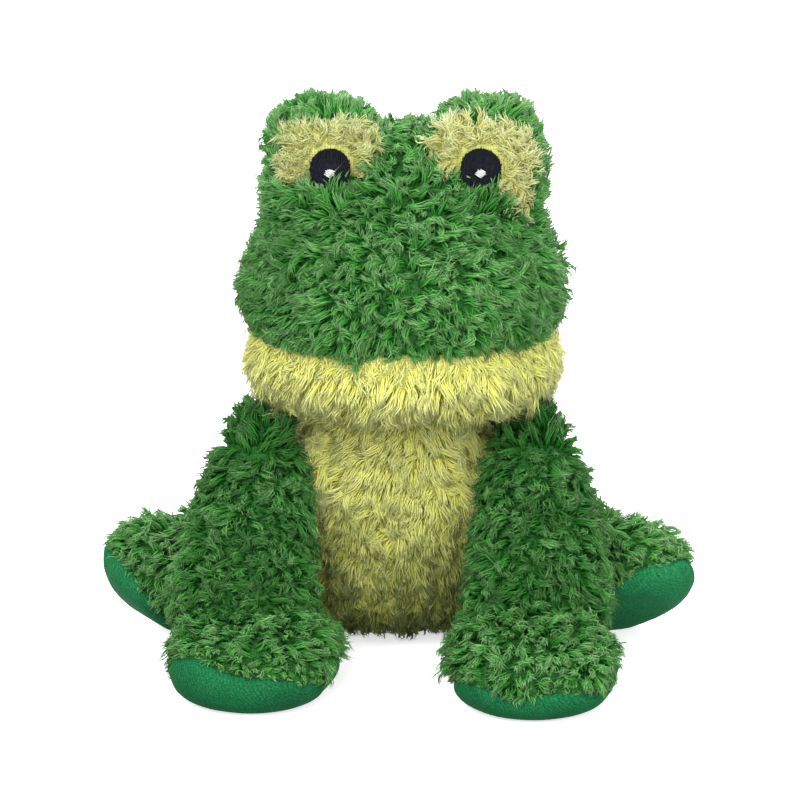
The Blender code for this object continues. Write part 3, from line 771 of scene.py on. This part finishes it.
def grow(name, roots, normals, comb, kept, body, slot_name, cut):
    """The pile of one panel: strands from these roots, which run together in locks."""
    size, stand, tone, wild = kept
    size, stand = size[:, None], stand[:, None]
    middles, lock = gather(roots, cut["lock"])
    locks, count = len(middles), len(roots)
    each, column = lock[:, None], (count, 1)
    out, way = normals[middles], comb[middles]
    along = unit(way - (way * out).sum(1, keepdims=True) * out)
    astray = LOCK_DRIFT * drift(roots[middles], cut["patch"], 3)
    astray = RANDOM.normal(0, LOCK_TURNS, locks) + astray
    turn = (cut["swirl"] * wild[middles] * astray)[:, None]
    along = along * np.cos(turn) + np.cross(out, along) * np.sin(turn)
    full = 1 + FULLNESS * drift(roots[middles], BLOTCH, 5)
    length = cut["length"] * full * RANDOM.lognormal(0, LOCK_LENGTHS, locks).clip(*LENGTH_LIMITS)
    length = length[each] * size * RANDOM.uniform(*STRAND_LENGTHS, column)
    height = cut["height"] * full * RANDOM.lognormal(0, LOCK_HEIGHTS, locks)
    height = height[each] * size * stand * RANDOM.uniform(*STRAND_HEIGHTS, column)
    phase = RANDOM.uniform(0, 2 * pi, locks)[each] + RANDOM.normal(0, STRAND_PHASES, column)
    wave = (cut["wave"] * RANDOM.uniform(*LOCK_WAVES, locks))[each]
    hook = RANDOM.normal(0, cut["hook"], (locks, 2))[lock]
    hook = hook + RANDOM.normal(0, STRAND_HOOKS, (count, 2))
    sway, lift = hook[:, :1], np.abs(hook[:, 1:])
    spread = RANDOM.uniform(*STRAND_TIPS, column) * cut["tip"]
    curl = RANDOM.normal(0, cut["curl"], locks)[each]
    curl = curl + RANDOM.normal(0, STRAND_CURLS * cut["curl"], column)
    start, twist = RANDOM.uniform(0, 2 * pi, column), RANDOM.normal(0, LOCK_TWISTS, locks)[each]
    middle, out, along = roots[middles][lock], out[lock], along[lock]
    across = np.cross(out, along)

    # From here on each row is a strand, and each column a ring of it
    steps = cut["steps"]
    t = np.array(steps)[None, :]
    fade = np.minimum(1, 2.2 * t)
    turns = length / cut["wavelength"] * 2 * pi * t + phase
    swing = wave * np.sin(turns) * fade
    bob = 0.6 * wave * np.cos(turns) * fade
    winding = start + twist * t
    rise = height * (1 - (1 - t) ** 2 - cut["droop"] * t**3) - ROOT_DEPTH * (1 - t)
    sideways = swing + sway * length * t**3 + spread * t * np.cos(winding)
    upward = rise + bob + lift * length * t**3 + spread * t * np.sin(winding)
    forward = length * (0.45 * t + 0.55 * t**2) * (1 - 0.25 * lift * t**2)
    bend = curl * t  # the lock's curl turns it this far, and moves it aside along an arc
    sideways += 0.5 * forward * bend * np.sinc(bend / (2 * pi)) ** 2
    forward = forward * np.sinc(bend / pi)
    moves = (
        (roots - middle, 1 - cut["gather"] * t),
        (out, upward),
        (along, forward),
        (across, sideways),
    )
    centre = sum((way[:, None] * share[..., None] for way, share in moves), middle[:, None])
    radius = cut["radius"] * RANDOM.uniform(*STRAND_RADII, column) * (1 - 0.5 * t**3)
    points = strands_round(steps, centre, radius, out)

    shade = RANDOM.normal(0, LOCK_SHADES, locks)[lock] + RANDOM.normal(0, STRAND_SHADES, count)
    shade = tone + cut["contrast"] * (shade + SHADE_DRIFT * drift(roots, SHADE_REACH, 7))
    columns = np.clip(shade * SHADES, 0, SHADES - 1).astype(int)

    most = MOST_TRIANGLES // sum(len(face) - 2 for face in TEMPLATES[steps][1])
    parts = -(-count // most)
    order = np.argsort(middle[:, 0], kind="stable")
    for part, rows in enumerate(np.array_split(order, parts)):
        part_name = name if parts == 1 else name + "_" + "abcdef"[part]
        made = link(part_name, strand_mesh(part_name, steps, points[rows], columns[rows]))
        made.data.materials.append(PATCH_PILE if "patch" in name else PILE_LOOKS[slot_name])
        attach(made, body)


def strand_mesh(name, steps, points, column=None):
    """Copies of the template at these points. With a column each, the strands get their own map."""
    template, faces = TEMPLATES[steps]
    count, per = points.shape[:2]
    corner_counts = [len(face) for face in faces]
    corners = np.concatenate(faces)
    mesh = bpy.data.meshes.new(name)
    mesh.vertices.add(count * per)
    mesh.vertices.foreach_set("co", points.astype(np.float32).ravel())
    loops = (corners[None, :] + per * np.arange(count)[:, None]).ravel()
    mesh.loops.add(len(loops))
    mesh.loops.foreach_set("vertex_index", loops.astype(np.int32))
    starts = np.concatenate([[0], np.cumsum(corner_counts)[:-1]])
    mesh.polygons.add(count * len(corner_counts))
    face_starts = (starts[None, :] + len(corners) * np.arange(count)[:, None]).ravel()
    mesh.polygons.foreach_set("loop_start", face_starts.astype(np.int32))
    mesh.update(calc_edges=True)
    mesh.shade_smooth()
    if column is None:
        return mesh

    place = template[corners]
    upward = np.array(steps)[np.rint(place[:, 2]).astype(int)] * 0.94 + 0.03
    root_cap = np.repeat([max(template[f, 2]) < 0.5 for f in faces], corner_counts)
    upward = np.where(root_cap, 0.03 - 0.012 * (1 + place[:, 1]), upward)
    uv = np.empty((count, len(corners), 2))
    uv[..., 0] = (column[:, None] + 0.5 + 0.40 * place[:, 0][None, :]) / SHADES
    uv[..., 1] = upward[None, :]
    layer = mesh.uv_layers.new(name="OFBake")
    layer.data.foreach_set("uv", uv.astype(np.float32).ravel())
    return mesh


# Cuts of pile: strands to a cell, spacing of locks, sizes in metres, and the rest as shares
CURLY = dict(
    steps=CURL_STEPS, strands=4, lock=0.0029, length=0.0076, height=0.0052, swirl=0.70,
    patch=0.012, hook=0.22, wave=0.0009, wavelength=0.0056, tip=0.0015, radius=0.00031,
    droop=0.38, gather=0.75, curl=0.9, contrast=1.0,
)
COMBED = dict(CURLY, strands=5, length=0.0084, swirl=0.45, wavelength=0.0060)
MOUND = dict(CURLY, length=0.0072, height=0.0040)
SILKY = dict(
    CURLY, strands=6, lock=0.0038, length=0.0114, height=0.0035, swirl=0.30, hook=0.15,
    wave=0.0007, wavelength=0.0085, tip=0.0020, radius=0.00025, droop=0.45, gather=0.50,
    curl=0.40, contrast=0.18,
)
SPARSE = dict(
    CURLY, steps=CRIMP_STEPS, strands=8, lock=0.0022, length=0.0076, height=0.0030, swirl=0.90,
    hook=0.20, wave=0.0008, wavelength=0.0050, tip=0.0014, radius=0.00022, droop=0.20,
    gather=0.60, curl=2.0, contrast=0.30,
)

# Panels with short pile along a seam: the panel across it, the least share, and where it is whole
SHORT_PILE = (
    ("head_upper", ("upper", "jaw"), 0.30, 0.010),
    ("head_jaw", ("jaw", "upper"), 0.26, 0.009),
    ("front_foot_upper", ("upper", "sole"), 0.14, 0.010),
    ("hind_foot_upper", ("upper", "sole"), 0.30, 0.008),
)
TONES = (  # how light the pile is, by how its node's name begins
    ("arm_", 0.17),
    ("leg_", 0.60),
    ("hind_foot", 0.62),
    ("front_foot", 0.46),
    ("eye_mound", 0.85),
    ("eye_patch_right", 0.34),
    ("", 0.50),
)
# On the belly the same, by height: painted shade, darkest at the bottom between the feet
BELLY_TONES = (0.000, 0.024, 0.048, 0.068, 0.088), (0.02, 0.08, 0.22, 0.36, 0.54)
BROW = np.array((0.004, -0.060, 0.212))  # from here the muzzle's pile runs out and down
SHOULDER = (0.062, -0.045, 0.092)  # from here the top of the arm's pile runs out
HIP = (0.072, 0.016)  # nearer the middle than this the leg's pile turns to the torso, and how soon
MOUND_MIDDLE = 0.01  # below a pupil's

# Where something begins, and how far on it is in full: aside from the middle, or in height
CHEST_EDGE = (0.026, 0.010)
SHOULDER_EDGE = (0.040, 0.015)
CHEST_RISE = (0.050, 0.025)
CHEST_COMB_RISE = (0.060, 0.035)
NECK_RISE = (0.084, 0.010)
SHOULDER_RISE = (0.086, 0.012)
# from here up the crown's pile has painted light
CROWN_RISE = (0.200, 0.014)
BRIDGE_RISE = (0.208, 0.01)

# Heights between which a length changes: on the belly, and over a pupil's or the jaw's lower edge
BELLY_ENDS = (0.030, 0.060)
PATCH_ENDS = (0.0, 0.010)
JAW_ENDS = (0.002, 0.014)

# Strands that are left out
SQUEEZE = 0.007  # room under which some are
SEAT_HEIGHT = 0.012  # below which most of those that face the floor are


def comb_down(points):
    return np.tile((0.0, -0.10, -1.0), (len(points), 1))


def under_pupils(points):
    """How close each place is to the band below a pupil, from 0 to 1, and how far below it."""
    close, below = np.zeros((2, len(points)))
    width, depth, height = PUPIL_BAND
    for side in SIDES:
        x, _, _, bottom = pupil_disc(side)
        across = (points[:, 0] - x) / width
        deep = (points[:, 2] - bottom + depth) / height
        near = np.exp(-(across**4) - deep**4) * (points[:, 1] < FACE_BACK)
        below = np.where(near > close, bottom - points[:, 2], below)
        close = np.maximum(close, near)
    return close, below


def comb_crown(points):
    """Out over the muzzle, down its middle, back over the crown, up over the pupils' edge."""
    x, y, z = (points - BROW).T
    way = unit(np.stack([x * 1.6, 0.4 * y, z * 0.8 - 0.012], 1))
    way = way + np.array((0, 0.8, 0.2)) * (points[:, 1:2] > FACE_BACK)
    return way + np.array((0, -0.8, 4.0)) * under_pupils(points)[0][:, None]


def comb_arm(side):
    """Down the arm, but up and out from the top of the shoulder."""

    def comb(points):
        high = rising(points[:, 2:], *SHOULDER_RISE)
        away = unit(points - np.array((side * SHOULDER[0], *SHOULDER[1:]))) + np.array((0, 0, 0.8))
        return (1 - high) * np.array((0, -0.1, -1)) + high * away

    return comb


def comb_leg(side):
    """Down the leg, but towards the torso next to the hip."""

    def comb(points):
        near = np.clip((HIP[0] - np.abs(points[:, 0])) / HIP[1], 0, 1)
        return np.stack([-1.6 * side * near, -0.1 + 0 * near, -1 + 0.5 * near], 1)

    return comb


def comb_jaw(points):
    even = 0 * points[:, 0]
    return np.stack([points[:, 0] * 9, even, even - 1], 1)


def comb_belly(points):
    """Out and forward over the arms on the chest, straight down below."""
    x, z = points[:, 0], points[:, 2]
    high = rising(z, *CHEST_COMB_RISE)
    edge = rising(np.abs(x), *CHEST_EDGE) * rising(z, *CHEST_RISE)
    return np.stack([x * (4 + 40 * high) - 0.5 * high, -2.5 * edge, -1 + 0.5 * edge], 1)


def comb_from(centre, rise=0.0):
    """Away from a centre, and a little upwards."""

    def comb(points):
        return unit(points - np.array(centre)) + np.array((0, 0, rise))

    return comb


def pile_plan(node_name):
    """The comb and the cut of a panel's pile, by its CAD node."""
    side = node_name.rsplit("_", 1)[-1]
    if node_name.startswith("eye_"):
        low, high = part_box("pupil_" + side)
        centre = (low + high) / 2
        if "patch" in node_name:
            return comb_from(centre), SPARSE
        return comb_from(centre - Vector((0, 0, MOUND_MIDDLE)), rise=0.2), MOUND
    if node_name.startswith("arm_"):
        return comb_arm(SIDES[side]), CURLY
    if node_name.startswith("leg_"):
        return comb_leg(SIDES[side]), CURLY
    if "foot" in node_name:
        kind = "arm_" if "front" in node_name else "leg_"
        low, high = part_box(kind + side)
        foot_low, foot_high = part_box(node_name)
        ankle = ((low + high) / 2 + (foot_low + foot_high) / 2) / 2
        return comb_from((ankle.x, ankle.y, foot_high.z)), CURLY
    return {
        "head_upper": (comb_crown, COMBED),
        "head_jaw": (comb_jaw, SILKY),
        "torso_belly": (comb_belly, SILKY),
    }.get(node_name, (comb_down, CURLY))


def pile_size(node_name, roots, skin, clear):
    """How long the pile is at each root, as a share of its cut's length."""
    size = np.clip(clear / PILE_ROOM, 0.45, 1.0)
    aside, height = np.abs(roots[:, 0]), roots[:, 2]
    if node_name.startswith("arm_") or node_name == "torso_back":
        outer = rising(aside, *SHOULDER_EDGE)
        size = np.maximum(size, rising(height, *NECK_RISE, most=1.40) * (0.55 + 0.45 * outer))
    if node_name == "torso_belly":
        longest = 1.1 + 0.3 * rising(aside, *CHEST_EDGE)
        size = np.maximum(size, rising(height, *CHEST_RISE, most=longest))
        size *= np.interp(height, BELLY_ENDS, (0.60, 1.0))
    if node_name == "head_nape":
        size = np.maximum(size, 1.0)
    if node_name == "head_upper":
        close, below = under_pupils(roots)
        size += close * (np.clip((PUPIL_COVER + below) / COMBED["length"], 0.7, 1.45) - size)
    if node_name == "eye_patch_right":
        size *= np.interp(height - pupil_disc("right")[3], PATCH_ENDS, (0.50, 1.0))
    if node_name == "head_jaw":
        chin = np.interp(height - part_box(node_name)[0].z, JAW_ENDS, (1.40, 0.95))
        size = np.maximum(size, chin)
    for ending, seam, least, reach in SHORT_PILE:
        if node_name.startswith(ending):
            away = skin.seam_distances(node_name, node_name.replace(*seam), roots)
            away /= reach * (1 + 0.6 * drift(roots, BLOTCH, 13))
            size *= np.clip(least + (1 - least) * away, least, 1)
    return size


def pile_tone(node_name, roots):
    """How light the pile is, from 0 to 1. The belly has painted shade low down between the feet and
    at its sides; the crown has painted light towards its top.
    """
    x, _, z = roots.T
    if node_name == "torso_belly":
        # painted shade: darker at the bottom, and reaching higher at the sides next to the arms
        return np.interp(z - 1.4 * np.clip(np.abs(x - 0.001) - 0.018, 0, 0.012), *BELLY_TONES)
    if node_name == "head_upper":
        # painted light: the pile lighter towards the top of the crown
        return 0.5 + 0.32 * rising(z, *CROWN_RISE)
    return 0 * z + next(tone for start, tone in TONES if node_name.startswith(start))


def off_pupils(roots):
    """Which roots aren't behind a pupil."""
    clear = np.ones(len(roots), bool)
    for side in SIDES:
        off = from_pupil(side, roots) > pupil_disc(side)[2] + PUPIL_ROOM
        clear &= off | (roots[:, 1] > FACE_BACK)
    return clear


def kept_share(roots, normals, clear):
    """The share of strands to keep: fewer in narrow gaps, on the back and under the seat."""
    share = np.clip(clear / SQUEEZE, 0.6, 1.0)
    share = np.where(normals[:, 1] > 0.35, 0.72 * share, share)
    return np.where((normals[:, 2] < -0.7) & (roots[:, 2] < SEAT_HEIGHT), 0.35, share)


def pile_wildness(node_name, roots):
    """How far the locks turn from the comb: most along the muzzle's middle and on the bridge."""
    if "patch" in node_name:
        off = from_pupil(node_name.rsplit("_", 1)[-1], roots)
        return np.clip((off - 0.008) / 0.008, 0.15, 1)
    if node_name != "head_upper":
        return 1 + 0 * roots[:, 0]
    middle = np.exp(-(((roots[:, 0] - BROW[0]) / 0.013) ** 2))
    wild = 1 + 1.6 * middle + 1.2 * rising(roots[:, 2], *BRIDGE_RISE)
    return wild * (1 - 0.8 * under_pupils(roots)[0])


def dress(body):
    """The skin, the filling and the pile of one body."""
    skin = Skin(body)
    skin.draw_in()
    skin.swell()
    for index, node_name in enumerate(skin.names):
        skin_name, slot_name, _ = PANELS[body][node_name]
        piece = skin.panel(index)
        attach(piece, body)
        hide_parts(node_name)
        if slot_name not in PILE_LOOKS:
            continue
        comb, cut = pile_plan(node_name)
        furry = (skin.label == index) & (skin.clear > BARE_REACH)
        roots, normals, clear = skin.scatter(furry, cut["strands"])
        chosen = RANDOM.uniform(0, 1, len(roots)) < kept_share(roots, normals, clear)
        if body == "head":
            chosen &= off_pupils(roots)
        roots, normals, clear = roots[chosen], normals[chosen], clear[chosen]
        kept = (
            pile_size(node_name, roots, skin, clear),
            1 + 0.7 * under_pupils(roots)[0] * (node_name == "head_upper"),
            pile_tone(node_name, roots),
            pile_wildness(node_name, roots),
        )
        pile_name = skin_name.replace("_skin", "_pile")
        grow(pile_name, roots, normals, comb(roots), kept, body, slot_name, cut)
    stuff(FILLINGS[body], body, FIBRE_FILL)


def stuff(node_name, body, look):
    """A loose rounded mass in the place of a CAD filling."""
    bm = remeshed(merged([node_name]), FILLING_CELL)
    everywhere = dict(use_axis_x=True, use_axis_y=True, use_axis_z=True)
    for _ in range(4):
        bmesh.ops.smooth_vert(bm, verts=bm.verts, factor=0.5, **everywhere)
    bm.normal_update()
    for vert in bm.verts:
        vert.co -= vert.normal * FILLING_CLEAR
    made = linked(node_name + "_mass", bm, look)
    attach(made, body)
    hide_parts(node_name)


# Embroidered eyes


def in_front(tree, x, z):
    """The y of a surface at this place, as the viewer sees it."""
    found = tree.ray_cast(Vector((x, -1, z)), Vector((0, 1, 0)))[0]
    return None if found is None else found.y


def stitches(lines, tree, radius, lift, proud):
    """Satin stitches between pairs of places on a surface, each arched a little over it."""
    steps = np.array(STITCH_STEPS)
    centre, facing = [], []
    for (x0, z0), (x1, z1) in lines:
        places = ((x0, z0), ((x0 + x1) / 2, (z0 + z1) / 2), (x1, z1))
        ends = [in_front(tree, x, z) for x, z in places]
        depth = [end for end in ends if end is not None]
        if not depth:
            continue
        ends = [depth[0] if end is None else end for end in ends]
        y = np.interp(steps, (0, 0.5, 1), ends) - lift - proud * np.sin(pi * steps)
        centre.append(np.stack([x0 + (x1 - x0) * steps, y, z0 + (z1 - z0) * steps], 1))
        facing.append((0.0, -1.0, 0.0))
    profile = radius * (0.45 + 0.55 * np.sin(pi * np.clip(steps, 0.05, 0.95)))
    centre = np.array(centre)
    radii = profile[np.newaxis] * RANDOM.uniform(0.85, 1.15, (len(centre), 1))
    shares = dict(wide_share=1.2, thick_share=0.8)
    return strands_round(STITCH_STEPS, centre, radii, np.array(facing), **shares)


def sewn(name, node_name, body, look, points):
    """A CAD piece's own solid with stitches over it, which takes its place."""
    bm = merged([node_name])
    bm.from_mesh(strand_mesh(name + "_stitches", STITCH_STEPS, points))
    made = linked(name, bm, look)
    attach(made, body)
    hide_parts(node_name)


def embroider(name):
    """A black pupil in rows of upright stitches with ragged ends, and some white ones over it."""
    low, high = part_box("pupil_" + name)
    middle, radius = (low + high) / 2, (high.x - low.x) / 2
    tree = nearness(["pupil_" + name])
    lines = []
    for column in np.arange(-1, 1.01, 2 * PUPIL_STITCH / (high.x - low.x)):
        half = radius * np.sqrt(max(0.0, 1 - column**2)) + RAGGED_END
        x = middle.x + column * radius
        cuts = np.sort(RANDOM.uniform(-0.6, 0.6, 2)) * half
        bottom = -half - RANDOM.uniform(-THREAD_SLIP, 0.0005)
        ends = [bottom, *cuts, half + RANDOM.uniform(-THREAD_SLIP, 0.0006)]
        for lower, upper in zip(ends, ends[1:]):
            slant = RANDOM.normal(0, THREAD_SLIP)
            more = RANDOM.uniform(0.0002, 0.0009) / 2  # neighbours in a row overlap
            foot = (x - slant, middle.z + lower - more)
            lines.append((foot, (x + slant, middle.z + upper + more)))
    points = stitches(lines, tree, PUPIL_THREAD, lift=0.0, proud=0.0003)
    sewn("pupil_stitching_" + name, "pupil_" + name, "head", BLACK_THREAD, points)

    low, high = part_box("pupil_highlight_" + name)
    middle = (low + high) / 2
    lines = []
    for row in np.linspace(-1, 1, 5):
        x, z = middle.x + HIGHLIGHT_SPREAD[0] * row, middle.z + HIGHLIGHT_SPREAD[1] * row
        across = HIGHLIGHT_HALF * (1 - 0.25 * row**2) + RANDOM.uniform(-THREAD_SLIP, THREAD_SLIP)
        drop = 0.55 + RANDOM.normal(0, 0.12)
        lines.append(((x - across, z + across * drop), (x + across, z - across * drop)))
    points = stitches(lines, tree, HIGHLIGHT_THREAD, lift=HIGHLIGHT_LIFT, proud=0.0002)
    node_name, slot_name = "pupil_highlight_" + name, "white_thread"
    sewn("highlight_stitching_" + name, node_name, "head", WHITE_THREAD, points)


for _body in PANELS:
    dress(_body)
stuff("seat_pellet_bag", "torso", BAG_CLOTH)
for _side in SIDES:
    embroider(_side)


# Floor, light and camera


def by_rays(tree, kinds, shader, seen, output):
    """The seen shader for these kinds of rays, and the other one for the rest."""
    rays = node(tree, "LightPath").outputs
    one, other = (rays["Is " + kind + " Ray"] for kind in kinds)
    either = node(tree, "Math", {"operation": "MAXIMUM"}, _0=one, _1=other).outputs[0]
    mix = node(tree, "MixShader", _0=either, _1=shader.outputs[0], _2=seen.outputs[0])
    plug(tree, tree.nodes[output], Surface=mix.outputs[0])


def set_stage():
    bm = bmesh.new()
    bmesh.ops.create_grid(bm, x_segments=1, y_segments=1, size=FLOOR_SIZE)
    floor = linked("floor", bm)
    made, tree, shader = new_material("pale_floor")
    plug(tree, shader, Base_Color=(0.30, 0.30, 0.30, 1), Roughness=1.0, Specular_IOR_Level=0.0)
    bright = node(tree, "BsdfDiffuse", Color=(0.85, 0.85, 0.85, 1))
    glow = node(tree, "Emission", Color=(1, 1, 1, 1), Strength=FLOOR_GLOW)
    seen = node(tree, "AddShader", _0=bright.outputs[0], _1=glow.outputs[0])
    by_rays(tree, ("Camera", "Glossy"), shader, seen, "Material Output")
    floor.data.materials.append(made)

    world = bpy.data.worlds.new("studio")
    bpy.context.scene.world = world
    world.use_nodes = True
    tree = world.node_tree
    soft = tree.nodes["Background"]
    plug(tree, soft, Color=(1, 1, 1, 1), Strength=WORLD_LEVEL)
    white = node(tree, "Background", Color=(1, 1, 1, 1), Strength=1.0)
    by_rays(tree, ("Camera", "Transmission"), soft, white, "World Output")


def add_light(name, place, size, power):
    lamp = bpy.data.lights.new(name, "AREA")
    lamp.size = size
    lamp.energy = power
    thing = link(name, lamp)
    thing.location = place
    thing.rotation_euler = (VIEW_CENTRE - Vector(place)).to_track_quat("-Z", "Y").to_euler()


def set_camera():
    lens = bpy.data.cameras.new("camera")
    lens.sensor_width = SENSOR
    lens.lens = SENSOR * CAMERA_DISTANCE / VIEW_WIDTH
    lens.clip_end = 20
    camera = link("camera", lens)
    back = Vector((0, -cos(CAMERA_ELEVATION), sin(CAMERA_ELEVATION)))
    camera.location = VIEW_CENTRE + back * CAMERA_DISTANCE
    camera.rotation_euler = back.to_track_quat("Z", "Y").to_euler()
    bpy.context.scene.camera = camera


set_stage()
for _lamp in LAMPS:
    add_light(*_lamp)
set_camera()
bpy.context.scene.view_settings.view_transform = "Standard"
